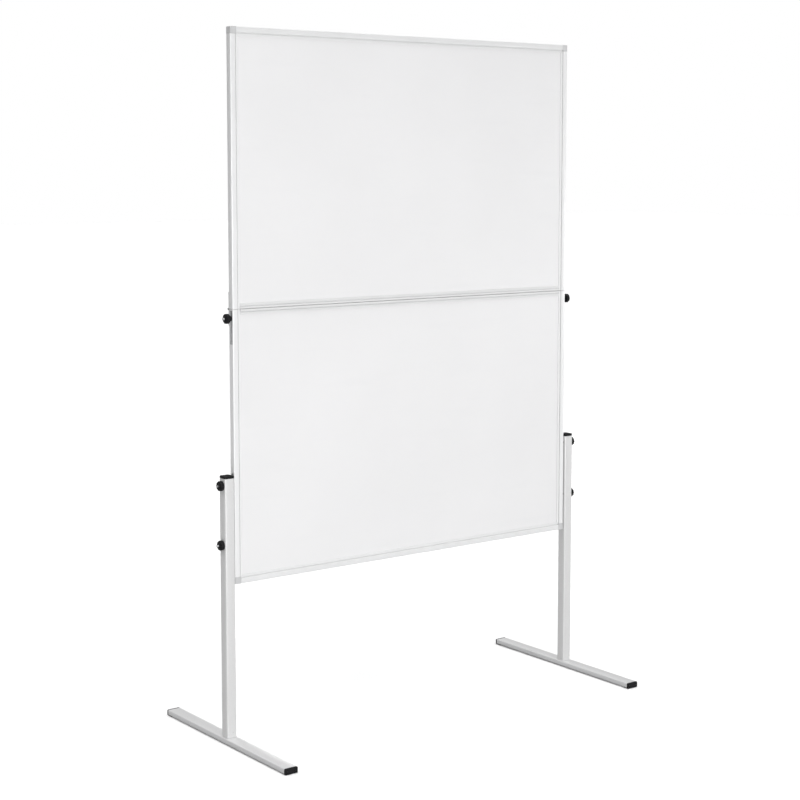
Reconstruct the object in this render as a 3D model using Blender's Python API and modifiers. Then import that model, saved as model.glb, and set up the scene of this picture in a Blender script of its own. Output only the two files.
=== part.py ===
"""Free-standing whiteboard in two folding halves, clamped between two T-foot stands.

Metres, +Z up. The origin is on the floor under the middle of the board, the writing
face looks along -Y, and the stands are at -X (left) and +X (right).
"""

import math

import bmesh
import bpy
from mathutils import Matrix, Vector

# Clearances between pieces that touch or slide, and how far a cutter or a joined block
# runs past the face that it meets.
GAP = 0.0003
BORE_PLAY = 0.00015
OVERRUN = 0.001

# Sides of round pieces.
ROUND = 20
SMALL_ROUND = 16
PIN_ROUND = 12

# Board: two halves, one above the other, with a seam between them.
BOARD_WIDTH = 1.200
BOARD_BOTTOM = 0.441
HALF_HEIGHT = 0.750
SEAM_GAP = 0.0008
SEAM_Z = BOARD_BOTTOM + HALF_HEIGHT
BOARD_TOP = SEAM_Z + HALF_HEIGHT
HALF_WIDTH = BOARD_WIDTH / 2

# Frame profile, measured inwards from its outer edge (u) and across the board (depth).
FRAME_DEPTH = 0.020
RIM_WIDTH = 0.0155
SEAM_RIM_WIDTH = 0.006
LIP_WIDTH = 0.0085
LIP_FACE = 0.0082
LIP_BACK = 0.0060
GROOVE_WIDTH = 0.0024
GROOVE_FLOOR = 0.0067
RIM_ROUND = 0.0018
EDGE_ROUND = 0.0006
WALL = 0.0018
CHANNEL_INNER = 0.0074
CHAMBER = (0.0095, 0.0140)
SEAM_CHAMBER = (0.0015, 0.0045)
CHANNEL_HALF_DEPTH = 0.0081
CHAMBER_HALF_DEPTH = 0.0078
PROFILE_WIDTH = RIM_WIDTH + LIP_WIDTH
CORNER_SIZE = 0.0190
CORNER_ROUND = 0.0030

# Panel in the frame's slot: two thin sheets on a core.
SHEET = 0.0005
PANEL_HALF_DEPTH = LIP_BACK - GAP

# Connectors that plug into the profiles.
TENON_LENGTH = 0.028
CLEAT_LENGTH = 0.036
CLEAT_HALF_DEPTH = 0.0055
CLEAT_THICKNESS = 0.0024

# Lock on the outer side of each lower stile.
LOCK_WINDOW = (0.004, 0.095)
LOCK_WINDOW_HALF = 0.0075
LOCK_BAR_LENGTH = 0.114
LOCK_BAR_HALF = 0.0078
LOCK_BAR_THICKNESS = 0.0025
LOCK_KNOB_DROP = 0.025
LOCK_STUD_OUT = 0.0255
COLLAR_RADIUS = 0.0070
COLLAR_LENGTH = 0.0070

# Clamp slot in the lower stiles, as long as the board's travel down and up.
SLOT_HALF = 0.0032
SLOT_END_ROUND = 0.0031
SLOT_SPARE = 0.008
LOWERED = 0.020
RAISED = 0.070

# Hinges behind the seam.
HINGE_AXIS_OUT = 0.0040
EYE_RADIUS = 0.0032
EYE_BORE = 0.00162
PIN_RADIUS = 0.0015
PIN_HEAD = 0.0009
PIN_HEAD_RADIUS = 0.0026
LEAF_THICKNESS = 0.0020
LEAF_HEIGHT = 0.046
LEAF_WIDTH = 0.0140
LEAF_START = 0.0040
KNUCKLE = 0.0046

# Uprights of square tube.
TUBE = 0.030
TUBE_WALL = 0.0015
TUBE_ROUND = 0.0040
STAND_GAP = 0.0025
STAND_X = HALF_WIDTH + STAND_GAP + TUBE / 2
CAP_THICKNESS = 0.0075
CAP_TENON = 0.012
MOULDED_ROUND = 0.0008
STAND_TOP = 0.742
CLAMP_HEIGHTS = {"upper": 0.715, "lower": 0.552}
STUD_RADIUS = 0.0030
STUD_OUT = {"upper": 0.0148, "lower": 0.0185}
HEAD_HALF = (0.0072, 0.0030)
HEAD_THICKNESS = 0.0035
SPACER_RADIUS = 0.0080

# Clamp and lock knobs.
KNOB_RADIUS = 0.0137
KNOB_LOBES = 10
POINTS_PER_LOBE = 4
KNOB_LOBE_DEPTH = 0.0010
KNOB_GRIP = 0.0110
KNOB_HUB_RADIUS = 0.0072
KNOB_HUB = 0.0135

# Feet of flat tube.
FOOT_WIDTH = 0.040
FOOT_HEIGHT = 0.015
FOOT_LIFT = 0.0020
FOOT_LENGTH = 0.608
FOOT_ROUND = 0.0035
FOOT_CAP_THICKNESS = 0.0060
FOOT_CAP_TENON = 0.016
GLIDE_LENGTH = 0.016
GLIDE_HALF_WIDTH = 0.0170
FOOT_TOP = FOOT_LIFT + FOOT_HEIGHT
UPRIGHT_BOTTOM = FOOT_TOP + GAP
BOLT_RADIUS = 0.0040
BOLT_HEAD_RADIUS = 0.0065
BOLT_HEAD = 0.0014
BOLT_CHAMFER = 0.0006
INSERT_HEIGHT = 0.024

SIDES = {"left": -1, "right": 1}

# Colour, metallic value and roughness of each material.
MATERIALS = {
    "writing_surface": ((0.86, 0.87, 0.88), 0.0, 0.22),
    "back_sheet": ((0.72, 0.73, 0.74), 0.0, 0.45),
    "core_board": ((0.62, 0.52, 0.38), 0.0, 0.90),
    "frame_aluminium": ((0.80, 0.80, 0.81), 0.6, 0.38),
    "corner_plastic": ((0.56, 0.57, 0.59), 0.0, 0.55),
    "stand_paint": ((0.74, 0.74, 0.75), 0.3, 0.40),
    "black_plastic": ((0.02, 0.02, 0.02), 0.0, 0.45),
    "zinc_steel": ((0.48, 0.49, 0.51), 1.0, 0.40),
}


def clear_scene():
    for obj in list(bpy.data.objects):
        bpy.data.objects.remove(obj, do_unlink=True)


def new_collection(name):
    collection = bpy.data.collections.new(name)
    bpy.context.scene.collection.children.link(collection)
    return collection


clear_scene()
BOARD = new_collection("folding_whiteboard")
CUTTERS = new_collection("cutters")


def make_material(name):
    colour, metallic, roughness = MATERIALS[name]
    material = bpy.data.materials.new(name)
    material.use_nodes = True
    shader = material.node_tree.nodes["Principled BSDF"]
    shader.inputs["Base Color"].default_value = (*colour, 1.0)
    shader.inputs["Metallic"].default_value = metallic
    shader.inputs["Roughness"].default_value = roughness
    material.diffuse_color = (*colour, 1.0)
    return material


PALETTE = {name: make_material(name) for name in MATERIALS}


def frame_empty(name, location, parent=None):
    """An empty on a joint's axis, which the pieces of one moving group hang from."""
    empty = bpy.data.objects.new(name, None)
    empty.empty_display_size = 0.05
    empty.location = location
    BOARD.objects.link(empty)
    if parent is not None:
        hang(empty, parent)
    return empty


def hang(obj, parent):
    """Parents an object to an empty, with its location still in world metres."""
    obj.parent = parent
    obj.matrix_parent_inverse = Matrix.Translation(-parent.location)


def add_object(name, mesh, collection, material=None):
    obj = bpy.data.objects.new(name, mesh)
    collection.objects.link(obj)
    if material:
        mesh.materials.append(PALETTE[material])
    return obj


def as_helper(obj):
    obj.hide_render = True
    obj.display_type = "WIRE"
    return obj


# Outlines: closed lists of (x, y) points.
def rectangle(half_x, half_y):
    return [(-half_x, -half_y), (half_x, -half_y), (half_x, half_y), (-half_x, half_y)]


def circle(radius, count):
    angles = [2 * math.pi * i / count for i in range(count)]
    return [(radius * math.cos(angle), radius * math.sin(angle)) for angle in angles]


def rounded(corners, steps=3):
    """An outline from (x, y, radius) corners, each radius an arc of equal steps."""
    outline = []
    for i, (x, y, radius) in enumerate(corners):
        point = Vector((x, y))
        if radius <= 0:
            outline.append((x, y))
            continue
        back = (Vector(corners[i - 1][:2]) - point).normalized()
        ahead = (Vector(corners[(i + 1) % len(corners)][:2]) - point).normalized()
        turn = math.acos(max(-1.0, min(1.0, back.dot(ahead))))
        reach = radius / math.tan(turn / 2)
        centre = point + (back + ahead).normalized() * (radius / math.sin(turn / 2))
        start = point + back * reach - centre
        end = point + ahead * reach - centre
        sweep = math.atan2(start.cross(end), start.dot(end))
        for step in range(steps + 1):
            arm = Matrix.Rotation(sweep * step / steps, 2) @ start
            outline.append(tuple(centre + arm))
    return outline


def rounded_rectangle(half_x, half_y, radius, steps=3):
    return rounded([(x, y, radius) for x, y in rectangle(half_x, half_y)], steps)


def extruded_mesh(name, outlines, length):
    """Mesh of a flat outline, with the later outlines as holes, centred along local Z."""
    curve = bpy.data.curves.new(name, "CURVE")
    curve.dimensions = "2D"
    curve.fill_mode = "BOTH"
    curve.extrude = length / 2
    for outline in outlines:
        spline = curve.splines.new("POLY")
        spline.points.add(len(outline) - 1)
        for point, (x, y) in zip(spline.points, outline):
            point.co = (x, y, 0, 1)
        spline.use_cyclic_u = True
    draft = bpy.data.objects.new(name + "_draft", curve)
    CUTTERS.objects.link(draft)
    graph = bpy.context.evaluated_depsgraph_get()
    mesh = bpy.data.meshes.new_from_object(draft.evaluated_get(graph))
    bpy.data.objects.remove(draft, do_unlink=True)
    bpy.data.curves.remove(curve)
    mesh.name = name
    shape = bmesh.new()
    shape.from_mesh(mesh)
    bmesh.ops.remove_doubles(shape, verts=shape.verts, dist=0.000002)
    bmesh.ops.recalc_face_normals(shape, faces=shape.faces)
    shape.to_mesh(mesh)
    shape.free()
    return mesh


# Rotations that turn an extrusion's local axes to the world's.
ALONG_Z = (0, 0, 0)
ALONG_X = (math.pi / 2, 0, math.pi / 2)  # outline x, y become world Y, Z
ALONG_Y = (math.pi / 2, 0, 0)  # outline x, y become world X, Z


def extrusion(name, outlines, length, location, rotation, material, holder):
    obj = add_object(name, extruded_mesh(name, outlines, length), BOARD, material)
    obj.location = location
    obj.rotation_euler = rotation
    hang(obj, holder)
    return obj


def helper_extrusion(name, outlines, length, location, rotation):
    obj = as_helper(add_object(name, extruded_mesh(name, outlines, length), CUTTERS))
    obj.location = location
    obj.rotation_euler = rotation
    return obj


def box_mesh(name, size):
    mesh = bpy.data.meshes.new(name)
    shape = bmesh.new()
    bmesh.ops.create_cube(shape, size=1.0)
    bmesh.ops.scale(shape, vec=size, verts=shape.verts)
    shape.to_mesh(mesh)
    shape.free()
    return mesh


def centre_and_size(low, high):
    low, high = Vector(low), Vector(high)
    first = Vector([min(a, b) for a, b in zip(low, high)])
    last = Vector([max(a, b) for a, b in zip(low, high)])
    return (first + last) / 2, last - first


def box(name, low, high, material, holder):
    centre, size = centre_and_size(low, high)
    obj = add_object(name, box_mesh(name, size), BOARD, material)
    obj.location = centre
    hang(obj, holder)
    return obj


def helper_box(name, low, high):
    centre, size = centre_and_size(low, high)
    obj = as_helper(add_object(name, box_mesh(name, size), CUTTERS))
    obj.location = centre
    return obj


def helper_rod(name, radius, start, end):
    """A cylinder between two points that differ along one world axis."""
    start, end = Vector(start), Vector(end)
    mesh = bpy.data.meshes.new(name)
    shape = bmesh.new()
    bmesh.ops.create_cone(
        shape, cap_ends=True, segments=SMALL_ROUND, radius1=radius, radius2=radius,
        depth=(end - start).length,
    )
    shape.to_mesh(mesh)
    shape.free()
    obj = as_helper(add_object(name, mesh, CUTTERS))
    obj.location = (start + end) / 2
    obj.rotation_euler = (end - start).to_track_quat("Z", "Y").to_euler()
    return obj


def combine(obj, other, operation):
    modifier = obj.modifiers.new(f"{operation.lower()}_{other.name}", "BOOLEAN")
    modifier.operation = operation
    modifier.solver = "EXACT"
    modifier.object = other


def cut(obj, *others):
    for other in others:
        combine(obj, other, "DIFFERENCE")


def join(obj, *others):
    for other in others:
        combine(obj, other, "UNION")


def soften(obj):
    """Rounds the edges of a moulded piece."""
    bevel = obj.modifiers.new("soft_edges", "BEVEL")
    bevel.width = MOULDED_ROUND
    bevel.segments = 2
    bevel.limit_method = "ANGLE"


def shade(obj):
    obj.data.shade_smooth()
    obj.data.set_sharp_from_angle(angle=math.radians(35))


# Frame profiles
def profile_outline(rim):
    """Section of a frame profile: a raised rim, then a groove and a lip on each face."""
    lip_end = rim + LIP_WIDTH
    groove_end = rim + GROOVE_WIDTH
    face = FRAME_DEPTH / 2
    back_half = [
        (0, face, RIM_ROUND),
        (rim, face, EDGE_ROUND),
        (rim, GROOVE_FLOOR, 0),
        (groove_end, GROOVE_FLOOR, 0),
        (groove_end, LIP_FACE, 0),
        (lip_end, LIP_FACE, EDGE_ROUND),
        (lip_end, LIP_BACK, 0),
        (rim, LIP_BACK, 0),
    ]
    front_half = [(u, -depth, radius) for u, depth, radius in reversed(back_half)]
    return rounded(back_half + front_half)


def chamber_outline(low, high, half=CHAMBER_HALF_DEPTH):
    return [(low, -half), (high, -half), (high, half), (low, half)]


def stile(name, side, low, high, holder):
    """Upright profile with an outer channel and an inner chamber."""
    outlines = [
        profile_outline(RIM_WIDTH),
        chamber_outline(WALL, CHANNEL_INNER, CHANNEL_HALF_DEPTH),
        chamber_outline(*CHAMBER),
    ]
    turn = 0 if side < 0 else math.pi
    obj = extrusion(
        name, outlines, high - low, (side * HALF_WIDTH, 0, (low + high) / 2),
        (0, 0, turn), "frame_aluminium", holder,
    )
    shade(obj)
    return obj


def rail(name, edge_z, inwards, rim, chamber, end_inset, holder):
    """Level profile; inwards is +1 where the panel is above it."""
    length = 2 * (HALF_WIDTH - end_inset - GAP)
    outlines = [profile_outline(rim), chamber_outline(*chamber)]
    obj = extrusion(
        name, outlines, length, (0, 0, edge_z), (0, -inwards * math.pi / 2, 0),
        "frame_aluminium", holder,
    )
    shade(obj)
    return obj


def side_x(side, u):
    """World X of a place that is u inwards from the board's outer side."""
    return side * (HALF_WIDTH - u)


def mitre_lip(obj, name, side, edge_z, inwards, level):
    """Cuts a profile's lips at 45 degrees, where they meet the next profile's lips."""
    near, far = CORNER_SIZE - OVERRUN, PROFILE_WIDTH + OVERRUN
    wedge = [(near, near + GAP / 2), (far, near + GAP / 2), (far, far + GAP / 2)]
    if level:
        wedge = [(v, u) for u, v in wedge]
    turned_wedge = [(-side * u, inwards * v) for u, v in wedge]
    cut(obj, helper_extrusion(
        f"{name}_mitre", [turned_wedge], FRAME_DEPTH + 2 * OVERRUN,
        (side * HALF_WIDTH, 0, edge_z), ALONG_Y,
    ))


def open_seam_window(obj, name, side, seam_end, inwards):
    """Lets the seam connector pass from the stile's chamber towards the seam rail."""
    low, high = SEAM_CHAMBER
    cut(obj, helper_box(
        f"{name}_seam_window",
        (side_x(side, CHAMBER[1] - GAP), -CLEAT_HALF_DEPTH - GAP, seam_end + inwards * low),
        (side_x(side, RIM_WIDTH + GAP), CLEAT_HALF_DEPTH + GAP, seam_end + inwards * high),
    ))


def open_lock_window(obj, name, side):
    """Wide opening over the lock bar in the stile's outer wall."""
    top, bottom = LOCK_WINDOW
    cut(obj, helper_box(
        f"{name}_lock_window",
        (side_x(side, -OVERRUN), -LOCK_WINDOW_HALF, SEAM_Z - bottom),
        (side_x(side, WALL + OVERRUN), LOCK_WINDOW_HALF, SEAM_Z - top),
    ))


def open_clamp_slot(obj, name, side):
    """Narrow slot for the clamp bolts in the stile's outer wall, with round ends."""
    middle_x = side_x(side, WALL / 2)
    low = CLAMP_HEIGHTS["lower"] - RAISED - STUD_RADIUS - SLOT_SPARE
    high = CLAMP_HEIGHTS["upper"] + LOWERED + STUD_RADIUS + SLOT_SPARE
    centre = (low + high) / 2
    outline = rounded_rectangle(SLOT_HALF, (high - low) / 2, SLOT_END_ROUND, 5)
    cut(obj, helper_extrusion(
        f"{name}_clamp_slot", [outline], WALL + 2 * OVERRUN, (middle_x, 0, centre), ALONG_X,
    ))


def corner(name, side, edge_z, inwards, holder):
    """Plastic corner: a block with the panel's slot in it and a tenon for each profile."""
    size = CORNER_SIZE
    outline = rounded([
        (0, 0, CORNER_ROUND), (size, 0, 0), (size, size, 0), (0, size, 0),
    ])
    turned = [(-side * x, inwards * z) for x, z in outline]
    obj = extrusion(
        name, [turned], FRAME_DEPTH, (side * HALF_WIDTH, 0, edge_z), ALONG_Y,
        "corner_plastic", holder,
    )

    def at(u, depth, v):
        return (side_x(side, u), depth, edge_z + inwards * v)

    inner, far = RIM_WIDTH, size + OVERRUN
    face = FRAME_DEPTH / 2 + OVERRUN
    low, high = CHAMBER
    half = CHAMBER_HALF_DEPTH - GAP
    cut(
        obj,
        helper_box(f"{name}_slot", at(inner, -LIP_BACK, inner), at(far, LIP_BACK, far)),
        helper_box(f"{name}_front", at(inner, -face, inner), at(far, -LIP_FACE, far)),
        helper_box(f"{name}_rear", at(inner, face, inner), at(far, LIP_FACE, far)),
    )
    join(
        obj,
        helper_box(
            f"{name}_stile_tenon",
            at(low + GAP, -half, size - OVERRUN), at(high - GAP, half, size + TENON_LENGTH),
        ),
        helper_box(
            f"{name}_rail_tenon",
            at(size - OVERRUN, -half, low + GAP), at(size + TENON_LENGTH, half, high - GAP),
        ),
    )
    return obj


def cleat(name, side, seam_end, inwards, holder):
    """Flat L connector hidden in the stile and the seam rail."""
    low_u, high_u = CHAMBER[0] + GAP, CHAMBER[1] - GAP
    low_v = SEAM_CHAMBER[0] + GAP
    high_v = low_v + CLEAT_THICKNESS
    far_u = PROFILE_WIDTH + CLEAT_LENGTH
    far_v = low_v + CLEAT_LENGTH
    outline = [
        (low_u, low_v), (far_u, low_v), (far_u, high_v),
        (high_u, high_v), (high_u, far_v), (low_u, far_v),
    ]
    turned = [(-side * u, inwards * v) for u, v in outline]
    return extrusion(
        name, [turned], 2 * CLEAT_HALF_DEPTH, (side * HALF_WIDTH, 0, seam_end), ALONG_Y,
        "zinc_steel", holder,
    )


def panel(prefix, low_z, high_z, holder):
    """Front sheet, core and back sheet, from the writing side to the rear."""
    half_x = HALF_WIDTH - RIM_WIDTH - GAP
    outer = PANEL_HALF_DEPTH
    inner = outer - SHEET
    for name, near, far, material in (
        ("front_sheet", -outer, -inner, "writing_surface"),
        ("core", -inner + GAP, inner - GAP, "core_board"),
        ("back_sheet", inner, outer, "back_sheet"),
    ):
        box(
            f"{prefix}_{name}", (-half_x, near, low_z), (half_x, far, high_z),
            material, holder,
        )


def board_half(prefix, outer_z, inwards, holder):
    """One half of the board; outer_z is its edge away from the seam."""
    seam_end = SEAM_Z - inwards * SEAM_GAP / 2
    corner_end = outer_z + inwards * (CORNER_SIZE + GAP)
    stiles = {}
    for side_name, side in SIDES.items():
        name = f"{prefix}_{side_name}_stile"
        low, high = sorted((corner_end, seam_end))
        stiles[side_name] = stile(name, side, low, high, holder)
        mitre_lip(stiles[side_name], name, side, outer_z, inwards, False)
        open_seam_window(stiles[side_name], name, side, seam_end, -inwards)
        corner(f"{prefix}_{side_name}_corner", side, outer_z, inwards, holder)
        cleat(f"{prefix}_{side_name}_cleat", side, seam_end, -inwards, holder)
    outer_name, seam_name = ("bottom", "top") if inwards > 0 else ("top", "bottom")
    outer_rail = rail(
        f"{prefix}_{outer_name}_rail", outer_z, inwards, RIM_WIDTH, CHAMBER, CORNER_SIZE, holder,
    )
    for side_name, side in SIDES.items():
        mitre_lip(outer_rail, f"{outer_rail.name}_{side_name}", side, outer_z, inwards, True)
    rail(
        f"{prefix}_{seam_name}_rail", seam_end, -inwards, SEAM_RIM_WIDTH, SEAM_CHAMBER,
        PROFILE_WIDTH, holder,
    )
    outer_edge = outer_z + inwards * (RIM_WIDTH + GAP)
    seam_edge = seam_end - inwards * (SEAM_RIM_WIDTH + GAP)
    panel(prefix, *sorted((outer_edge, seam_edge)), holder)
    return stiles


# Hinges
def leaf_outline(upwards):
    """Side view of a leaf: a plate that runs into the round eye (y, z from the axis)."""
    near = GAP - HINGE_AXIS_OUT
    far = near + LEAF_THICKNESS
    meet = math.atan2(math.sqrt(EYE_RADIUS**2 - far**2), far)
    arc = []
    for step in range(ROUND - 1):
        angle = meet - (meet + math.pi) * step / (ROUND - 2)
        arc.append((EYE_RADIUS * math.cos(angle), EYE_RADIUS * math.sin(angle)))
    outline = [(near, 0), (near, LEAF_HEIGHT), (far, LEAF_HEIGHT)] + arc
    return [(y, z * upwards) for y, z in outline]


def hinge_leaf(name, side, upwards, holder):
    x = side_x(side, RIM_WIDTH / 2)
    axis_y = FRAME_DEPTH / 2 + HINGE_AXIS_OUT
    obj = extrusion(
        name, [leaf_outline(upwards), circle(EYE_BORE, ROUND)], LEAF_WIDTH,
        (x, axis_y, SEAM_Z), ALONG_X, "zinc_steel", holder,
    )
    reach = HINGE_AXIS_OUT + OVERRUN
    half = LEAF_WIDTH / 2 + OVERRUN
    middle = KNUCKLE / 2
    if upwards > 0:
        spans = ((-half, -middle), (middle, half))
    else:
        spans = ((-middle - GAP, middle + GAP),)
    for index, (low, high) in enumerate(spans):
        cut(obj, helper_box(
            f"{name}_relief_{index}",
            (x + low, axis_y - reach, SEAM_Z - upwards * reach),
            (x + high, axis_y + reach, SEAM_Z + upwards * LEAF_START),
        ))
    shade(obj)
    return obj


def hinge_pin(name, side, holder):
    """Rivet pin with a flat head at each end, turned about its own axis."""
    half = LEAF_WIDTH / 2 + GAP
    top_half = [
        (0, half + PIN_HEAD), (PIN_HEAD_RADIUS - PIN_HEAD / 2, half + PIN_HEAD),
        (PIN_HEAD_RADIUS, half + PIN_HEAD / 2), (PIN_HEAD_RADIUS, half), (PIN_RADIUS, half),
    ]
    profile = top_half + [(radius, -height) for radius, height in reversed(top_half)]
    obj = turned(name, profile, PIN_ROUND, "zinc_steel", holder)
    obj.location = (
        side_x(side, RIM_WIDTH / 2), FRAME_DEPTH / 2 + HINGE_AXIS_OUT, SEAM_Z,
    )
    obj.rotation_euler = (0, math.pi / 2, 0)
    return obj


def turned(name, profile, steps, material, holder):
    """A turned shape: (radius, height) points down its outer side, spun about Z."""
    mesh = bpy.data.meshes.new(name)
    points = [(radius, 0, height) for radius, height in profile]
    mesh.from_pydata(points, [(i, i + 1) for i in range(len(points) - 1)], [])
    obj = add_object(name, mesh, BOARD, material)
    screw = obj.modifiers.new("turn", "SCREW")
    screw.axis = "Z"
    screw.steps = steps
    screw.render_steps = steps
    screw.use_merge_vertices = True
    screw.merge_threshold = 0.00001
    hang(obj, holder)
    return obj


# Locks
def lock_bar(name, side, holder):
    """Flat bar that slides in the stile's channel, with a fixed stud for its knob."""
    top = SEAM_Z - SEAM_GAP / 2 - GAP
    outer, inner = WALL + GAP, WALL + GAP + LOCK_BAR_THICKNESS
    knob_z = SEAM_Z - LOCK_KNOB_DROP
    obj = box(
        name, (side_x(side, outer), -LOCK_BAR_HALF, top - LOCK_BAR_LENGTH),
        (side_x(side, inner), LOCK_BAR_HALF, top), "zinc_steel", holder,
    )
    join(obj, helper_rod(
        f"{name}_stud", STUD_RADIUS, (side_x(side, outer + OVERRUN), 0, knob_z),
        (side_x(side, -LOCK_STUD_OUT), 0, knob_z),
    ))
    return obj


def ring(name, outer, inner, side, start_x, thickness, height_z, material, holder):
    """Flat ring on an axis along X; start_x is the distance of its inner face."""
    obj = extrusion(
        name, [circle(outer, ROUND), circle(inner, SMALL_ROUND)], thickness,
        (side * (start_x + thickness / 2), 0, height_z), ALONG_X, material, holder,
    )
    shade(obj)
    return obj


def knob_outline():
    """Round grip with shallow finger lobes."""
    count = KNOB_LOBES * POINTS_PER_LOBE
    outline = []
    for i in range(count):
        angle = 2 * math.pi * i / count
        radius = KNOB_RADIUS - KNOB_LOBE_DEPTH * (1 - math.cos(KNOB_LOBES * angle)) / 2
        outline.append((radius * math.cos(angle), radius * math.sin(angle)))
    return outline


def knob(name, side, start_x, height_z, holder):
    """Lobed grip and a smaller hub, bored through for the stud."""
    bore = circle(STUD_RADIUS + BORE_PLAY, SMALL_ROUND)
    obj = extrusion(
        name, [knob_outline(), bore], KNOB_GRIP,
        (side * (start_x + KNOB_GRIP / 2), 0, height_z), ALONG_X, "black_plastic", holder,
    )
    hub_length = KNOB_HUB - KNOB_GRIP / 2
    hub_centre = start_x + KNOB_GRIP / 2 + hub_length / 2
    join(obj, helper_extrusion(
        f"{name}_hub", [circle(KNOB_HUB_RADIUS, SMALL_ROUND), bore], hub_length,
        (side * hub_centre, 0, height_z), ALONG_X,
    ))
    shade(obj)
    return obj


# Stands
def upright(name, side, holder):
    top = STAND_TOP - CAP_THICKNESS
    outlines = [
        rounded_rectangle(TUBE / 2, TUBE / 2, TUBE_ROUND, 4),
        rounded_rectangle(
            TUBE / 2 - TUBE_WALL, TUBE / 2 - TUBE_WALL, TUBE_ROUND - TUBE_WALL, 4,
        ),
    ]
    obj = extrusion(
        name, outlines, top - UPRIGHT_BOTTOM,
        (side * STAND_X, 0, (top + UPRIGHT_BOTTOM) / 2), ALONG_Z, "stand_paint", holder,
    )
    for level, height in CLAMP_HEIGHTS.items():
        cut(obj, helper_rod(
            f"{name}_{level}_hole", STUD_RADIUS + GAP,
            (side * (STAND_X - TUBE), 0, height), (side * (STAND_X + TUBE), 0, height),
        ))
    shade(obj)
    return obj


def plug_outline():
    half = TUBE / 2 - TUBE_WALL - GAP
    return rounded_rectangle(half, half, TUBE_ROUND - TUBE_WALL, 3)


def upright_cap(name, side, holder):
    """Black cap: a flange flush with the tube, and a plug inside it."""
    flange_low = STAND_TOP - CAP_THICKNESS + GAP
    obj = extrusion(
        name, [rounded_rectangle(TUBE / 2, TUBE / 2, TUBE_ROUND, 4)],
        STAND_TOP - flange_low,
        (side * STAND_X, 0, (STAND_TOP + flange_low) / 2), ALONG_Z, "black_plastic", holder,
    )
    soften(obj)
    plug_top = flange_low + OVERRUN
    plug_low = flange_low - CAP_TENON
    join(obj, helper_extrusion(
        f"{name}_plug", [plug_outline()], plug_top - plug_low,
        (side * STAND_X, 0, (plug_top + plug_low) / 2), ALONG_Z,
    ))
    shade(obj)
    return obj


def upright_insert(name, side, holder):
    """Threaded block in the lower end of the tube, drawn with a plain bore."""
    low = UPRIGHT_BOTTOM + GAP
    return extrusion(
        name, [plug_outline(), circle(BOLT_RADIUS + BORE_PLAY, ROUND)], INSERT_HEIGHT,
        (side * STAND_X, 0, low + INSERT_HEIGHT / 2), ALONG_Z, "zinc_steel", holder,
    )


def clamp_bolt(name, side, height, reach, holder):
    """Bolt whose hammer head turns in the stile's channel; its shank passes the upright."""
    outer = WALL + GAP
    half_depth, half_height = HEAD_HALF
    obj = box(
        name, (side_x(side, outer), -half_depth, height - half_height),
        (side_x(side, outer + HEAD_THICKNESS), half_depth, height + half_height),
        "zinc_steel", holder,
    )
    join(obj, helper_rod(
        f"{name}_shank", STUD_RADIUS, (side_x(side, outer + OVERRUN), 0, height),
        (side * (STAND_X + TUBE / 2 + reach), 0, height),
    ))
    return obj


def foot_tube(name, side, holder):
    centre_z = FOOT_LIFT + FOOT_HEIGHT / 2
    outlines = [
        rounded_rectangle(FOOT_WIDTH / 2, FOOT_HEIGHT / 2, FOOT_ROUND),
        rounded_rectangle(
            FOOT_WIDTH / 2 - TUBE_WALL, FOOT_HEIGHT / 2 - TUBE_WALL, FOOT_ROUND - TUBE_WALL,
        ),
    ]
    obj = extrusion(
        name, outlines, FOOT_LENGTH, (side * STAND_X, 0, centre_z), ALONG_Y,
        "stand_paint", holder,
    )
    cut(obj, helper_rod(
        f"{name}_bolt_hole", BOLT_RADIUS + GAP, (side * STAND_X, 0, FOOT_LIFT - OVERRUN),
        (side * STAND_X, 0, FOOT_TOP + OVERRUN),
    ))
    shade(obj)
    return obj


def foot_cap(name, side, way, holder):
    """End cap with a plug in the tube and a glide that runs back under it."""
    x = side * STAND_X
    tube_end = FOOT_LENGTH / 2
    near = tube_end + GAP
    far = tube_end + FOOT_CAP_THICKNESS
    obj = extrusion(
        name, [rounded_rectangle(FOOT_WIDTH / 2, FOOT_TOP / 2, FOOT_ROUND)], far - near,
        (x, way * (near + far) / 2, FOOT_TOP / 2), ALONG_Y, "black_plastic", holder,
    )
    soften(obj)
    plug_length = FOOT_CAP_TENON + OVERRUN
    half_x = FOOT_WIDTH / 2 - TUBE_WALL - GAP
    half_z = FOOT_HEIGHT / 2 - TUBE_WALL - GAP
    join(
        obj,
        helper_extrusion(
            f"{name}_plug", [rounded_rectangle(half_x, half_z, FOOT_ROUND - TUBE_WALL)],
            plug_length,
            (x, way * (near + OVERRUN - plug_length / 2), FOOT_LIFT + FOOT_HEIGHT / 2),
            ALONG_Y,
        ),
        helper_box(
            f"{name}_glide", (x - GLIDE_HALF_WIDTH, way * (near - GLIDE_LENGTH), 0),
            (x + GLIDE_HALF_WIDTH, way * (near + 2 * OVERRUN), FOOT_LIFT - GAP),
        ),
    )
    shade(obj)
    return obj


def foot_bolt(name, side, holder):
    """Flat-headed bolt from under the foot tube up into the upright's insert."""
    head_top = FOOT_LIFT - GAP
    shank_top = UPRIGHT_BOTTOM + INSERT_HEIGHT - BOLT_CHAMFER
    profile = [
        (0, shank_top), (BOLT_RADIUS - BOLT_CHAMFER, shank_top),
        (BOLT_RADIUS, shank_top - BOLT_CHAMFER),
        (BOLT_RADIUS, head_top), (BOLT_HEAD_RADIUS, head_top),
        (BOLT_HEAD_RADIUS, head_top - BOLT_HEAD), (0, head_top - BOLT_HEAD),
    ]
    obj = turned(name, profile, ROUND, "zinc_steel", holder)
    obj.location = (side * STAND_X, 0, 0)
    return obj


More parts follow.
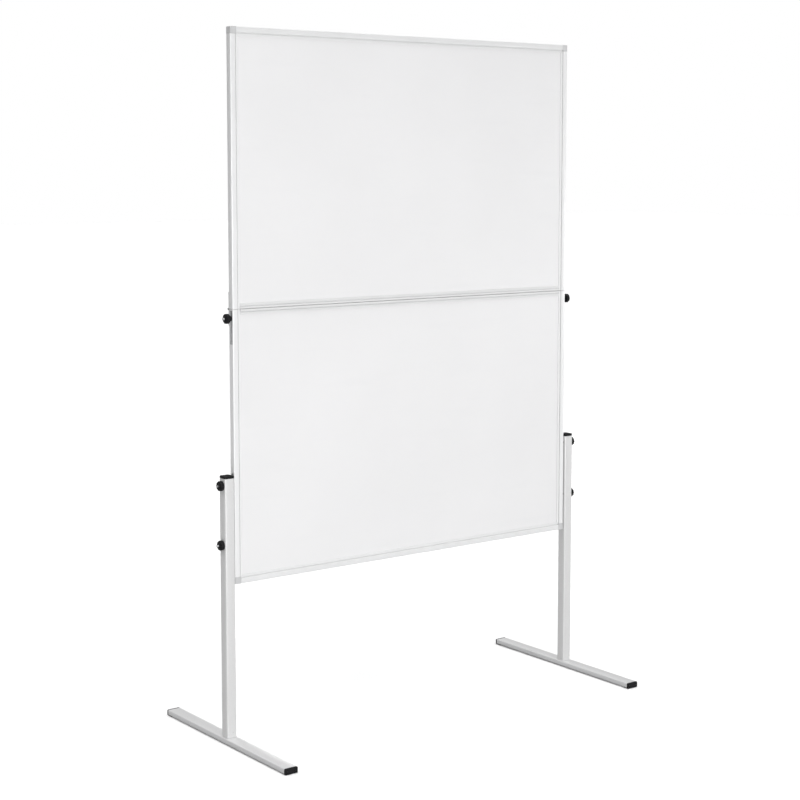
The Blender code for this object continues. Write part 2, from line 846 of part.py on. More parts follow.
def stand(side_name, side, holder):
    upright(f"{side_name}_upright", side, holder)
    upright_cap(f"{side_name}_upright_cap", side, holder)
    upright_insert(f"{side_name}_upright_insert", side, holder)
    foot_tube(f"{side_name}_foot_tube", side, holder)
    foot_bolt(f"{side_name}_foot_bolt", side, holder)
    for end_name, way in (("front", -1), ("rear", 1)):
        foot_cap(f"{side_name}_{end_name}_foot_cap", side, way, holder)
    for level, height in CLAMP_HEIGHTS.items():
        clamp_bolt(f"{side_name}_{level}_clamp_bolt", side, height, STUD_OUT[level], holder)
        ring(
            f"{side_name}_{level}_spacer", SPACER_RADIUS, STUD_RADIUS + GAP, side,
            HALF_WIDTH + GAP, STAND_GAP - 2 * GAP, height, "black_plastic", holder,
        )
        knob(
            f"{side_name}_{level}_clamp_knob", side, STAND_X + TUBE / 2 + GAP, height, holder,
        )


def lock(side_name, side, holder):
    knob_z = SEAM_Z - LOCK_KNOB_DROP
    slider = frame_empty(f"{side_name}_lock_frame", (side * HALF_WIDTH, 0, knob_z), holder)
    lock_bar(f"{side_name}_lock_bar", side, slider)
    ring(
        f"{side_name}_lock_collar", COLLAR_RADIUS, STUD_RADIUS + GAP, side,
        HALF_WIDTH + GAP, COLLAR_LENGTH, knob_z, "black_plastic", slider,
    )
    start = HALF_WIDTH + GAP + COLLAR_LENGTH + GAP
    knob(f"{side_name}_lock_knob", side, start, knob_z, slider)


def main():
    stand_frames = {
        name: frame_empty(f"{name}_stand_frame", (side * STAND_X, 0, 0))
        for name, side in SIDES.items()
    }
    lower = frame_empty("lower_board_frame", (0, 0, BOARD_BOTTOM))
    axis = (0, FRAME_DEPTH / 2 + HINGE_AXIS_OUT, SEAM_Z)
    upper = frame_empty("upper_board_frame", axis)
    lower_stiles = board_half("lower", BOARD_BOTTOM, 1, lower)
    board_half("upper", BOARD_TOP, -1, upper)
    for side_name, side in SIDES.items():
        name = f"lower_{side_name}_stile"
        open_lock_window(lower_stiles[side_name], name, side)
        open_clamp_slot(lower_stiles[side_name], name, side)
        hinge_leaf(f"{side_name}_hinge_lower_leaf", side, -1, lower)
        hinge_leaf(f"{side_name}_hinge_upper_leaf", side, 1, upper)
        hinge_pin(f"{side_name}_hinge_pin", side, lower)
        lock(side_name, side, lower)
        stand(side_name, side, stand_frames[side_name])


main()
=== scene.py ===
"""Looks of a free-standing folding whiteboard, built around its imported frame.

Metres, +Z up. The writing face looks along -Y, the stands are at -X (left) and
+X (right). Plain profiles, tubes and sheets stay CAD nodes with softened edges;
moulded, turned and threaded pieces are replaced by finer meshes on the same axes.
"""

import math

import bmesh
import bpy
from mathutils import Matrix, Vector


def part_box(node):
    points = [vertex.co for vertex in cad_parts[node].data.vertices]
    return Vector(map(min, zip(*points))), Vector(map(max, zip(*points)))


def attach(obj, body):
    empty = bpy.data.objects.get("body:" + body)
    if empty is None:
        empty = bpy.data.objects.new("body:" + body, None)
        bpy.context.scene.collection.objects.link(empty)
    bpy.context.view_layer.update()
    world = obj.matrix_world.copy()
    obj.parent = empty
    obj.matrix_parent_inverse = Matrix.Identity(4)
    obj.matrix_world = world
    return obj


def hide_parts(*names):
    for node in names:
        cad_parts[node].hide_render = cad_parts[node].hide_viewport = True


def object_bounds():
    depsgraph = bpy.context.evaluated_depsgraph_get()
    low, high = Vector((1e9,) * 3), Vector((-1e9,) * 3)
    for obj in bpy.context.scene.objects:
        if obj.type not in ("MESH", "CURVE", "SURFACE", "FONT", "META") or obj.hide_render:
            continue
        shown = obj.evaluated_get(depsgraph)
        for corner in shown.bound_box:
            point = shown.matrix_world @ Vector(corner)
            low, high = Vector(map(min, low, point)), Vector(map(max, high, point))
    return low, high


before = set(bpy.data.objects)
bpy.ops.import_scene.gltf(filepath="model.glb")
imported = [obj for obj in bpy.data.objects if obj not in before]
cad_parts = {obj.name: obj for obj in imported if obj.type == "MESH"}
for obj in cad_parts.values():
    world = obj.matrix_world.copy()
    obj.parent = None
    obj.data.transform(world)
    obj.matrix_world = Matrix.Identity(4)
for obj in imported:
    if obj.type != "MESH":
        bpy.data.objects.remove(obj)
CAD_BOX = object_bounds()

SIDES = {"left": -1, "right": 1}
HALVES = ("lower", "upper")
LEVELS = ("upper", "lower")

# Camera: as high as the upper board's lower part, in front and to the left.
CAMERA_PLACE = (-2.999, -3.939, 1.570)
CAMERA_HEADING = 36.99
CAMERA_DOWN = 5.61
CAMERA_LENS = 77.3
CAMERA_SHIFT = -0.08

# Softboxes: name, place, width across and power. All face the middle of the board.
SOFTBOXES = (
    ("key_softbox", (-1.4, -6.0, 0.98), 1.8, 165.0),
    ("fill_softbox", (-3.6, -4.4, 1.6), 1.4, 15.0),
    ("side_softbox", (-4.2, -0.6, 3.2), 1.6, 7.0),
    ("edge_softbox", (4.5, -2.6, 1.0), 1.4, 22.0),
    ("back_softbox", (3.6, 5.2, 0.7), 1.2, 22.0),
)

# Dome light: its strength at the horizon, what is added overhead, and how fast it rises.
DOME_LOW = 0.10
DOME_TOP = 3.1
DOME_RISE = 4.0

# Floor. What it throws back is kept low so that the sides of the tubes stay grey.
FLOOR_BOUNCE = (0.50, 0.50, 0.50)
FLOOR_REACH = 40.0
FLOOR_DROP = 0.0003

# How CAD nodes are softened: the width of each kind of edge, and what counts as one.
SHEET_EDGE = 0.00012
CORE_EDGE = 0.00020
PROFILE_EDGE = 0.00022
CORNER_EDGE = 0.00070
TUBE_EDGE = 0.00025
LEAF_EDGE = 0.00025
PIN_EDGE = 0.00012
INSERT_EDGE = 0.00030
BOLT_EDGE = 0.00020
WELD_REACH = 0.00001
FLAT_ANGLE = 0.6
EDGE_ANGLE = 38

# Studs and what sits on them.
STUD_RADIUS = 0.0030
THREAD_PITCH = 0.0010
THREAD_DEPTH = 0.00045
STUD_ROOT = 0.0005
CLAMP_THREAD = 0.024
LOCK_THREAD = 0.018
HEAD_THICKNESS = 0.0035
BAR_THICKNESS = 0.0025
PLAY = 0.0003

# Knobs: a grip with lobes, a dished face and a hub that stands out of it.
BORE_RADIUS = 0.00315
KNOB_RADIUS = 0.0137
KNOB_GRIP = 0.0110
KNOB_LENGTH = 0.0135
DISH_RADIUS = 0.0080
DISH_DEPTH = 0.0009
HUB_RADIUS = 0.0070
KNOB_LOBES = 10
LOBE_DEPTH = 0.0011
LOBE_START = 0.0085

# Caps and their plugs.
TUBE_WALL = 0.0018
CAP_FLANGE = 0.0072
CAP_CROWN = 0.0003
PLUG_TAPER = 0.0012
PLUG_LEAD = 0.0015
PLUG_OVERLAP = 0.001
FOOT_PLUG = 0.0160
GLIDE_HALF = 0.0170
GLIDE_RIBS = 5
RIB_DEPTH = 0.0005

# Hinge screws: the leaf's height over the frame, then the head and its cross recess.
LEAF_STACK = 0.0023
SCREW_RADIUS = 0.0026
SCREW_HEIGHT = 0.0011
SCREW_DOME = 0.93
SCREW_SIDES = 32
CROSS_LONG = 0.0016
CROSS_WIDE = 0.0003
SCREW_STEPS = (0.018, 0.037)


# ---------------------------------------------------------------- materials
class Finish:
    """A Principled material, with short helpers for the nodes that feed it."""

    def __init__(self, name, **constants):
        self.material = bpy.data.materials.new(name)
        self.material.use_nodes = True
        self.tree = self.material.node_tree
        self.shader = self.tree.nodes["Principled BSDF"]
        self.place = self.node("ShaderNodeTexCoord").outputs["Object"]
        for socket, value in constants.items():
            self.shader.inputs[socket.replace("_", " ")].default_value = value

    def node(self, kind, **settings):
        made = self.tree.nodes.new(kind)
        for key, value in settings.items():
            setattr(made, key, value)
        return made

    def feed(self, socket, value):
        if isinstance(value, bpy.types.NodeSocket):
            self.tree.links.new(value, socket)
        else:
            socket.default_value = value

    def stretch(self, scale, turn=(0, 0, 0)):
        mapping = self.node("ShaderNodeMapping")
        self.feed(mapping.inputs["Vector"], self.place)
        mapping.inputs["Scale"].default_value = scale
        mapping.inputs["Rotation"].default_value = turn
        return mapping.outputs["Vector"]

    def noise(self, scale, detail=3.0, vector=None, rough=0.5):
        noise = self.node("ShaderNodeTexNoise")
        self.feed(noise.inputs["Vector"], vector or self.place)
        noise.inputs["Scale"].default_value = scale
        noise.inputs["Detail"].default_value = detail
        noise.inputs["Roughness"].default_value = rough
        return noise.outputs["Fac"]

    def cells(self, scale, vector=None):
        cells = self.node("ShaderNodeTexVoronoi")
        self.feed(cells.inputs["Vector"], vector or self.place)
        cells.inputs["Scale"].default_value = scale
        return cells.outputs["Color"]

    def span(self, value, low, high, start, end):
        """Maps low..high to start..end, and holds the ends."""
        span = self.node("ShaderNodeMapRange", interpolation_type="SMOOTHSTEP")
        self.feed(span.inputs["Value"], value)
        for socket, number in zip(("From Min", "From Max", "To Min", "To Max"),
                                  (low, high, start, end)):
            span.inputs[socket].default_value = number
        return span.outputs["Result"]

    def maths(self, operation, first, second=0.0):
        maths = self.node("ShaderNodeMath", operation=operation)
        self.feed(maths.inputs[0], first)
        self.feed(maths.inputs[1], second)
        return maths.outputs["Value"]

    def openness(self, reach):
        """How open a place is to its surroundings within reach: low down in a groove."""
        hidden = self.node("ShaderNodeAmbientOcclusion", samples=8)
        hidden.inputs["Distance"].default_value = reach
        return hidden.outputs["AO"]

    def axis(self, name, vector=None):
        split = self.node("ShaderNodeSeparateXYZ")
        self.feed(split.inputs["Vector"], vector or self.place)
        return split.outputs[name]

    def mix(self, share, first, second):
        mix = self.node("ShaderNodeMix", data_type="RGBA")
        colours = [s for s in mix.inputs if s.type == "RGBA"]
        self.feed(mix.inputs["Factor"], share)
        for socket, colour in zip(colours, (first, second)):
            self.feed(socket, (*colour, 1.0) if isinstance(colour, tuple) else colour)
        return next(s for s in mix.outputs if s.type == "RGBA")

    def colour(self, value):
        self.feed(self.shader.inputs["Base Color"], value)

    def roughness(self, value):
        self.feed(self.shader.inputs["Roughness"], value)

    def bump(self, height, distance, below=None):
        bump = self.node("ShaderNodeBump")
        bump.inputs["Distance"].default_value = distance
        self.feed(bump.inputs["Height"], height)
        if below:
            self.feed(bump.inputs["Normal"], below)
        self.feed(self.shader.inputs["Normal"], bump.outputs["Normal"])
        return bump.outputs["Normal"]


def writing_surface():
    """White enamelled sheet: faint wiped streaks and the waviness of thin steel."""
    finish = Finish("writing_surface", Metallic=0.0, Coat_Weight=0.15, Coat_Roughness=0.2)
    patches = finish.noise(2.2, 4.0)
    wipes = finish.noise(3.0, 5.0, finish.stretch((1.0, 1.0, 7.0), (0, 0.45, 0)), 0.6)
    streaks = finish.span(wipes, 0.50, 0.78, 0.0, 0.30)
    cloud = finish.mix(finish.span(patches, 0.3, 0.7, 0.0, 1.0),
                       (0.809, 0.807, 0.813), (0.829, 0.827, 0.833))
    finish.colour(finish.mix(streaks, cloud, (0.778, 0.777, 0.786)))
    grain = finish.noise(24.0, 5.0)
    finish.roughness(finish.maths("ADD", finish.span(grain, 0.3, 0.7, 0.28, 0.34), streaks))
    waves = finish.bump(finish.noise(7.0, 1.0), 0.0006)
    finish.bump(finish.noise(900.0, 2.0), 0.00001, waves)
    return finish.material


def back_sheet():
    """Light grey coated sheet with a fine stucco grain."""
    finish = Finish("back_sheet", Metallic=0.0)
    cloud = finish.span(finish.noise(4.0, 5.0), 0.3, 0.7, 0.0, 1.0)
    finish.colour(finish.mix(cloud, (0.690, 0.697, 0.704), (0.725, 0.731, 0.737)))
    stucco = finish.noise(520.0, 2.0)
    finish.roughness(finish.span(stucco, 0.3, 0.7, 0.42, 0.56))
    finish.bump(stucco, 0.00016)
    return finish.material


def core_board():
    """Grey-brown fibre board."""
    finish = Finish("core_board", Metallic=0.0)
    fibres = finish.noise(240.0, 6.0, finish.stretch((1.0, 1.0, 4.0)), 0.7)
    finish.colour(finish.mix(fibres, (0.30, 0.22, 0.14), (0.56, 0.45, 0.32)))
    finish.roughness(finish.span(fibres, 0.2, 0.8, 0.8, 0.95))
    finish.bump(fibres, 0.0002)
    return finish.material


def anodised(name, along, tone, groove):
    """Satin anodised profile with the fine draw lines of its extrusion.

    groove is the share of its brightness that is left low down in its grooves: this is painted
    shade, the colour darkened where the grooves lie in shade.
    """
    finish = Finish(name, Metallic=0.15)
    across = tuple(6.0 if index == along else 900.0 for index in range(3))
    lines = finish.noise(1.0, 3.0, finish.stretch(across), 0.6)
    dull = finish.noise(9.0, 4.0)
    bright, mid, low = (tuple(tone * share for share in tint) for tint in (
        (1.0, 1.002, 1.006), (0.95, 0.954, 0.96), (0.92, 0.92, 0.92)))
    drawn = finish.mix(finish.span(lines, 0.3, 0.7, 0.0, 1.0), mid, bright)
    face = finish.mix(finish.span(dull, 0.55, 0.8, 0.0, 0.5), drawn, low)
    # Painted shade: low down in grooves and recesses the colour is darkened to tone times
    # groove.
    groove_shade_mask = finish.span(finish.openness(0.005), 0.25, 0.80, 0.0, 1.0)
    finish.colour(finish.mix(groove_shade_mask, tuple(tone * groove for _ in range(3)), face))
    finish.roughness(finish.span(dull, 0.3, 0.7, 0.30, 0.40))
    finish.bump(lines, 0.00003)
    return finish.material


def powder_coat(name, scuff_height, light):
    """Silver-grey powder coat; below scuff_height it carries shoe scuffs."""
    finish = Finish(name, Metallic=0.25)
    flakes = finish.axis("X", finish.cells(1500.0))
    dark = tuple(0.91 * share for share in light)
    tone = finish.mix(flakes, dark, light)
    rubs = finish.noise(28.0, 6.0, finish.stretch((1.0, 0.25, 1.0), (0, 0, 0.5)), 0.65)
    low = finish.span(finish.axis("Z"), scuff_height * 0.6, scuff_height, 1.0, 0.0)
    scuffs = finish.maths("MULTIPLY", finish.span(rubs, 0.60, 0.74, 0.0, 0.6), low)
    finish.colour(finish.mix(scuffs, tone, (0.40, 0.395, 0.385)))
    peel = finish.noise(650.0, 2.0)
    finish.roughness(finish.maths("ADD", finish.span(peel, 0.3, 0.7, 0.34, 0.44),
                                  finish.maths("MULTIPLY", scuffs, 0.3)))
    finish.bump(peel, 0.00007)
    return finish.material


def moulded(name, dark, light, grain, gloss, worn=None):
    """Moulded plastic with an eroded grain; worn is the radius where the grain is rubbed."""
    finish = Finish(name, Metallic=0.0, Specular_IOR_Level=gloss)
    speckle = finish.noise(grain, 3.0)
    tone = finish.mix(finish.span(finish.noise(60.0, 4.0), 0.3, 0.7, 0.0, 1.0), dark, light)
    rough = finish.span(speckle, 0.3, 0.7, 0.38, 0.56)
    if worn:
        y, z = finish.axis("Y"), finish.axis("Z")
        radius = finish.maths("SQRT", finish.maths(
            "ADD", finish.maths("MULTIPLY", y, y), finish.maths("MULTIPLY", z, z)))
        patch = finish.span(finish.noise(320.0, 4.0), 0.4, 0.65, 0.0, 0.8)
        rubbed = finish.maths(
            "MULTIPLY", finish.span(radius, worn * 0.93, worn, 0.0, 1.0), patch)
        tone = finish.mix(rubbed, tone, tuple(2 * c for c in light))
        rough = finish.maths("SUBTRACT", rough, finish.maths("MULTIPLY", rubbed, 0.2))
    finish.colour(tone)
    finish.roughness(rough)
    finish.bump(speckle, 0.00005)
    return finish.material


def zinc_plate():
    """Bright zinc plating with its faint mottled grain."""
    finish = Finish("zinc_steel", Metallic=1.0)
    grains = finish.axis("X", finish.cells(420.0))
    haze = finish.noise(90.0, 4.0)
    tone = finish.mix(grains, (0.48, 0.485, 0.50), (0.60, 0.605, 0.61))
    finish.colour(finish.mix(finish.span(haze, 0.5, 0.8, 0.0, 0.5), tone, (0.42, 0.42, 0.43)))
    finish.roughness(finish.span(haze, 0.3, 0.7, 0.28, 0.46))
    finish.bump(grains, 0.00002)
    return finish.material


BLACK = (0.006, 0.006, 0.007)
SOFT_BLACK = (0.011, 0.011, 0.012)
WRITING = writing_surface()
BACK = back_sheet()
CORE = core_board()
# One aluminium in three copies whose tones and groove shares differ only as painted light and
# shade: the seam rails are painted darker and the uprights lighter.
PROFILE_X = anodised("frame_aluminium_level", 0, 0.84, 0.84)
SEAM_PROFILE_SHADED = anodised("frame_aluminium_seam_shaded", 0, 0.80, 0.80)
PROFILE_Z_LIGHTENED = anodised("frame_aluminium_upright_lightened", 2, 0.88, 0.68)
# One powder coat in two copies: the feet are painted a darker tone than the uprights as painted
# shade.
LEG_PAINT = powder_coat("stand_paint_upright", 0.06, (0.778, 0.778, 0.778))
FOOT_PAINT_SHADED = powder_coat("stand_paint_foot_shaded", 0.03, (0.745, 0.746, 0.749))
GREY_PLASTIC = moulded("corner_plastic", (0.56, 0.562, 0.568), (0.61, 0.612, 0.618), 900.0, 0.4)
BLACK_PLASTIC = moulded("black_plastic", BLACK, SOFT_BLACK, 1100.0, 0.18)
KNOB_PLASTIC = moulded("knob_plastic", BLACK, SOFT_BLACK, 1400.0, 0.14, KNOB_RADIUS)
ZINC = zinc_plate()


# ---------------------------------------------------------------- mesh tools
def rounded(corners, steps=5):
    """A closed outline from (x, y, radius) corners, each radius an arc of equal steps."""
    outline = []
    for i, (x, y, radius) in enumerate(corners):
        point = Vector((x, y))
        if radius <= 0:
            outline.append((x, y))
            continue
        back = (Vector(corners[i - 1][:2]) - point).normalized()
        ahead = (Vector(corners[(i + 1) % len(corners)][:2]) - point).normalized()
        turn = math.acos(max(-1.0, min(1.0, back.dot(ahead))))
        reach = radius / math.tan(turn / 2)
        centre = point + (back + ahead).normalized() * (radius / math.sin(turn / 2))
        start = point + back * reach - centre
        end = point + ahead * reach - centre
        sweep = math.atan2(start.cross(end), start.dot(end))
        for step in range(steps + 1):
            arm = Matrix.Rotation(sweep * step / steps, 2) @ start
            outline.append(tuple(centre + arm))
    return outline


def rounded_rectangle(half_x, half_y, radius, steps=6):
    corners = [(-half_x, -half_y), (half_x, -half_y), (half_x, half_y), (-half_x, half_y)]
    return rounded([(x, y, radius) for x, y in corners], steps)


def loft(shape, rings, closed=False):
    """Skins rings of equal count; the ends are capped, or joined to each other if closed."""
    rows = [[shape.verts.new(point) for point in ring] for ring in rings]
    pairs = list(zip(rows, rows[1:]))
    if closed:
        pairs.append((rows[-1], rows[0]))
    else:
        shape.faces.new(rows[0])
        shape.faces.new(rows[-1])
    for first, second in pairs:
        for i in range(len(first)):
            j = (i + 1) % len(first)
            shape.faces.new((first[i], first[j], second[j], second[i]))


def finish_mesh(shape, name, smooth_angle=40):
    bmesh.ops.recalc_face_normals(shape, faces=shape.faces)
    mesh = bpy.data.meshes.new(name)
    shape.to_mesh(mesh)
    shape.free()
    mesh.shade_smooth()
    mesh.set_sharp_from_angle(angle=math.radians(smooth_angle))
    return mesh


def spun(shape, loop, sides, lobes=0, depth=0.0, core=0.0):
    """Turns a closed (x, radius) loop about X; lobes wave what is outside the core."""
    rings = []
    for side in range(sides):
        angle = 2 * math.pi * side / sides
        ring = []
        for x, radius in loop:
            if lobes and radius > core:
                share = min(1.0, (radius - core) / (KNOB_RADIUS - core))
                radius -= depth * share**2 * (1 - math.cos(lobes * angle)) / 2
            ring.append((x, radius * math.cos(angle), radius * math.sin(angle)))
        rings.append(ring)
    loft(shape, rings, closed=True)


def stud(shape, start, thread_start, end, sides=24, cuts=6):
    """A round stud along X, threaded from thread_start to its chamfered end."""
    def ring(x, radius_at):
        angles = [2 * math.pi * i / sides for i in range(sides)]
        return [(x, radius_at(a) * math.cos(a), radius_at(a) * math.sin(a)) for a in angles]

    def crest(x):
        fade = min(1.0, (x - thread_start) / THREAD_PITCH, (end - x) / THREAD_PITCH + 0.4)
        return lambda angle: STUD_RADIUS - THREAD_DEPTH * fade * abs(
            2 * ((x / THREAD_PITCH - angle / (2 * math.pi)) % 1.0) - 1)

    root = STUD_RADIUS - THREAD_DEPTH
    rings = [ring(start, lambda a: STUD_RADIUS)]
    count = round((end - thread_start) / THREAD_PITCH * cuts)
    step = (end - thread_start) / (count + 1)
    rings += [ring(thread_start + i * step, crest(thread_start + i * step))
              for i in range(count + 1)]
    rings.append(ring(end, lambda a: root * 0.92))
    loft(shape, rings)


def block(shape, low, high, radius, segments=3):
    """A box between two corners, with all its edges rounded."""
    low, high = Vector(low), Vector(high)
    made = bmesh.ops.create_cube(shape, size=1.0)["verts"]
    bmesh.ops.scale(shape, vec=high - low, verts=made)
    bmesh.ops.translate(shape, vec=(low + high) / 2, verts=made)
    edges = {edge for vert in made for edge in vert.link_edges}
    bmesh.ops.bevel(shape, geom=list(edges), offset=radius, offset_type="OFFSET",
                    segments=segments, profile=0.5, affect="EDGES", clamp_overlap=True)


def add_piece(name, mesh, body, material, place=(0, 0, 0), turn=0.0, replaced=()):
    piece = bpy.data.objects.new(name, mesh)
    bpy.context.scene.collection.objects.link(piece)
    piece.location = place
    piece.rotation_euler = (0, 0, turn)
    if not mesh.materials:
        mesh.materials.append(material)
    if replaced:
        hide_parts(*replaced)
    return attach(piece, body)


def facing(side):
    """Turn about Z that points a piece's local +X away from the board."""
    return 0.0 if side > 0 else math.pi


def outer_and_inner(node, side):
    """Distances from the middle of the board to a node's far and near faces."""
    low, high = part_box(node)
    far, near = (high.x, low.x) if side > 0 else (-low.x, -high.x)
    return far, near


# ---------------------------------------------------------------- CAD nodes
def refine(node, width, material):
    """Softens a CAD node's edges with modifiers, and gives it its finish."""
    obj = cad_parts[node]
    obj.data.materials.clear()
    obj.data.materials.append(material)
    if obj.data.has_custom_normals:
        obj.data.attributes.remove(obj.data.attributes["custom_normal"])
    obj.data.shade_smooth()
    weld = obj.modifiers.new("weld", "WELD")
    weld.merge_threshold = WELD_REACH
    flat = obj.modifiers.new("flat_faces", "DECIMATE")
    flat.decimate_type = "DISSOLVE"
    flat.angle_limit = math.radians(FLAT_ANGLE)
    bevel = obj.modifiers.new("soft_edges", "BEVEL")
    bevel.width = width
    bevel.segments = 2
    bevel.limit_method = "ANGLE"
    bevel.angle_limit = math.radians(EDGE_ANGLE)
    bevel.harden_normals = True
    bevel.use_clamp_overlap = True


def carried_over_nodes():
    """Every CAD node that stays shown, with its edge radius and finish."""
    for half in HALVES:
        refine(f"{half}_front_sheet", SHEET_EDGE, WRITING)
        refine(f"{half}_back_sheet", SHEET_EDGE, BACK)
        refine(f"{half}_core", CORE_EDGE, CORE)
        seam_edge = "top" if half == "lower" else "bottom"
        for edge in ("top", "bottom"):
            finish = SEAM_PROFILE_SHADED if edge == seam_edge else PROFILE_X
            refine(f"{half}_{edge}_rail", PROFILE_EDGE, finish)
        for side in SIDES:
            refine(f"{half}_{side}_stile", PROFILE_EDGE, PROFILE_Z_LIGHTENED)
            refine(f"{half}_{side}_corner", CORNER_EDGE, GREY_PLASTIC)
            refine(f"{half}_{side}_cleat", LEAF_EDGE, ZINC)
            refine(f"{side}_hinge_{half}_leaf", LEAF_EDGE, ZINC)
    for side in SIDES:
        refine(f"{side}_hinge_pin", PIN_EDGE, ZINC)
        refine(f"{side}_upright", TUBE_EDGE, LEG_PAINT)
        refine(f"{side}_upright_insert", INSERT_EDGE, ZINC)
        refine(f"{side}_foot_tube", TUBE_EDGE, FOOT_PAINT_SHADED)
        refine(f"{side}_foot_bolt", BOLT_EDGE, ZINC)


# ---------------------------------------------------------------- finer pieces
def knob_mesh():
    """Lobed grip with rounded rims, a dished face and a tapered hub, bored through."""
    shape = bmesh.new()
    loop = rounded([
        (0, BORE_RADIUS, 0.0002), (0, KNOB_RADIUS, 0.0011), (KNOB_GRIP, KNOB_RADIUS, 0.0018),
        (KNOB_GRIP - DISH_DEPTH, DISH_RADIUS, 0.0008), (KNOB_LENGTH, HUB_RADIUS, 0.0008),
        (KNOB_LENGTH, BORE_RADIUS, 0.0002),
    ], 4)
    spun(shape, loop, KNOB_LOBES * 10, KNOB_LOBES, LOBE_DEPTH, LOBE_START)
    return finish_mesh(shape, "knob")


def ring_mesh(name, radius, bore, thickness):
    shape = bmesh.new()
    loop = rounded([
        (0, bore, 0.0002), (0, radius, 0.0005),
        (thickness, radius, 0.0005), (thickness, bore, 0.0002),
    ], 3)
    spun(shape, loop, 48)
    return finish_mesh(shape, name)


def add_knob(node, side, body, mesh):
    low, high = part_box(node)
    near = outer_and_inner(node, side)[1]
    add_piece(f"{node}_moulded", mesh, body, KNOB_PLASTIC,
              (side * near, 0, (low.z + high.z) / 2), facing(side), [node])


def add_ring(node, side, body):
    low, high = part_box(node)
    far, near = outer_and_inner(node, side)
    mesh = ring_mesh(f"{node}_ring", (high.z - low.z) / 2, STUD_RADIUS + PLAY, far - near)
    add_piece(f"{node}_moulded", mesh, body, BLACK_PLASTIC,
              (side * near, 0, (low.z + high.z) / 2), facing(side), [node])


def add_clamp_bolt(node, side, body):
    """T head in the channel, plain shank, and a thread that the knob runs on."""
    low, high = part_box(node)
    far, near = outer_and_inner(node, side)
    half_y, half_z = high.y, (high.z - low.z) / 2
    shape = bmesh.new()
    block(shape, (0, -half_y, -half_z), (HEAD_THICKNESS, half_y, half_z), 0.0005)
    stud(shape, HEAD_THICKNESS - STUD_ROOT, far - near - CLAMP_THREAD, far - near)
    add_piece(f"{node}_threaded", finish_mesh(shape, f"{node}_threaded"), body,
              ZINC, (side * near, 0, (low.z + high.z) / 2), facing(side), [node])


def add_lock_bar(node, side, body, knob_z):
    """Flat bar with eased edges, and the threaded stud of its knob."""
    low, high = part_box(node)
    far, near = outer_and_inner(node, side)
    shape = bmesh.new()
    block(shape, (0, low.y, low.z - knob_z), (BAR_THICKNESS, high.y, high.z - knob_z), 0.0004)
    stud(shape, BAR_THICKNESS - STUD_ROOT, far - near - LOCK_THREAD, far - near)
    add_piece(f"{node}_threaded", finish_mesh(shape, f"{node}_threaded"), body,
              ZINC, (side * near, 0, knob_z), facing(side), [node])


def cap_rings(outline_at, base, height, top_round, crown):
    """Rings of a cap from its seat to its face: a rounded rim, then a slight crown."""
    levels = [(0.0003, 0.0), (0.0, 0.0003), (0.0, height - top_round - crown)]
    for step in range(1, 6):
        angle = math.pi / 2 * step / 5
        levels.append((top_round * (1 - math.cos(angle)),
                       height - crown - top_round * (1 - math.sin(angle))))
    levels += [(top_round + 0.003, height - crown * 0.3), (top_round + 0.007, height)]
    return [outline_at(inset, base + level) for inset, level in levels]


def add_upright_cap(node, body):
    """Cap with a rounded rim and a faint crown, and its plug with a lead-in chamfer."""
    low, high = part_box(node)
    half = (high.x - low.x) / 2
    shape = bmesh.new()

    def flange_ring(inset, level):
        outline = rounded_rectangle(half - inset, half - inset, max(0.004 - inset, 0.0008))
        return [(x, y, level) for x, y in outline]

    def plug_ring(inset, level):
        side = half - TUBE_WALL - inset
        return [(x, y, level) for x, y in rounded_rectangle(side, side, 0.0022)]

    seat = high.z - low.z - CAP_FLANGE
    loft(shape, cap_rings(flange_ring, seat, CAP_FLANGE, 0.0014, CAP_CROWN))
    loft(shape, [plug_ring(PLUG_TAPER, 0), plug_ring(0, PLUG_LEAD),
                 plug_ring(0, seat + PLUG_OVERLAP)])
    centre = ((low.x + high.x) / 2, 0, low.z)
    add_piece(f"{node}_moulded", finish_mesh(shape, f"{node}_moulded"), body,
              BLACK_PLASTIC, centre, replaced=[node])


def add_foot_cap(node, tube, body, way):
    """End cap of a foot: rounded face, plug in the tube, and a ribbed glide under it."""
    low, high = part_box(node)
    tube_low, tube_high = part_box(tube)
    half_x, half_z = (high.x - low.x) / 2, (high.z - low.z) / 2
    tube_half_z = (tube_high.z - tube_low.z) / 2
    tube_z = (tube_high.z + tube_low.z) / 2 - low.z
    length = high.y - low.y
    flange = length - FOOT_PLUG
    glide_top = tube_low.z - low.z - PLAY
    shape = bmesh.new()

    def flange_ring(inset, reach):
        outline = rounded_rectangle(
            half_x - inset, half_z - inset, max(0.0035 - inset * 0.4, 0.0010))
        return [(x, reach, z + half_z) for x, z in outline]

    def plug_ring(inset, reach):
        outline = rounded_rectangle(
            half_x - TUBE_WALL - inset, tube_half_z - TUBE_WALL - inset, 0.0018)
        return [(x, reach, z + tube_z) for x, z in outline]

    loft(shape, cap_rings(flange_ring, FOOT_PLUG, flange, 0.0015, CAP_CROWN))
    loft(shape, [plug_ring(PLUG_TAPER, 0), plug_ring(0, PLUG_LEAD),
                 plug_ring(0, FOOT_PLUG + PLUG_OVERLAP)])
    pitch = FOOT_PLUG / GLIDE_RIBS
    outline = [(FOOT_PLUG + PLUG_OVERLAP, glide_top), (0, glide_top)]
    for rib in range(GLIDE_RIBS):
        start = rib * pitch
        outline += [(start, 0), (start + pitch * 0.7, 0), (start + pitch * 0.8, RIB_DEPTH),
                    (start + pitch * 0.9, RIB_DEPTH)]
    outline.append((FOOT_PLUG + PLUG_OVERLAP, 0))
    loft(shape, [[(x, y, z) for y, z in outline] for x in (-GLIDE_HALF, GLIDE_HALF)])
    turn = 0.0 if way > 0 else math.pi
    inner_y = low.y if way > 0 else high.y
    add_piece(f"{node}_moulded", finish_mesh(shape, f"{node}_moulded"), body,
              BLACK_PLASTIC, ((low.x + high.x) / 2, inner_y, low.z), turn,
              replaced=[node])


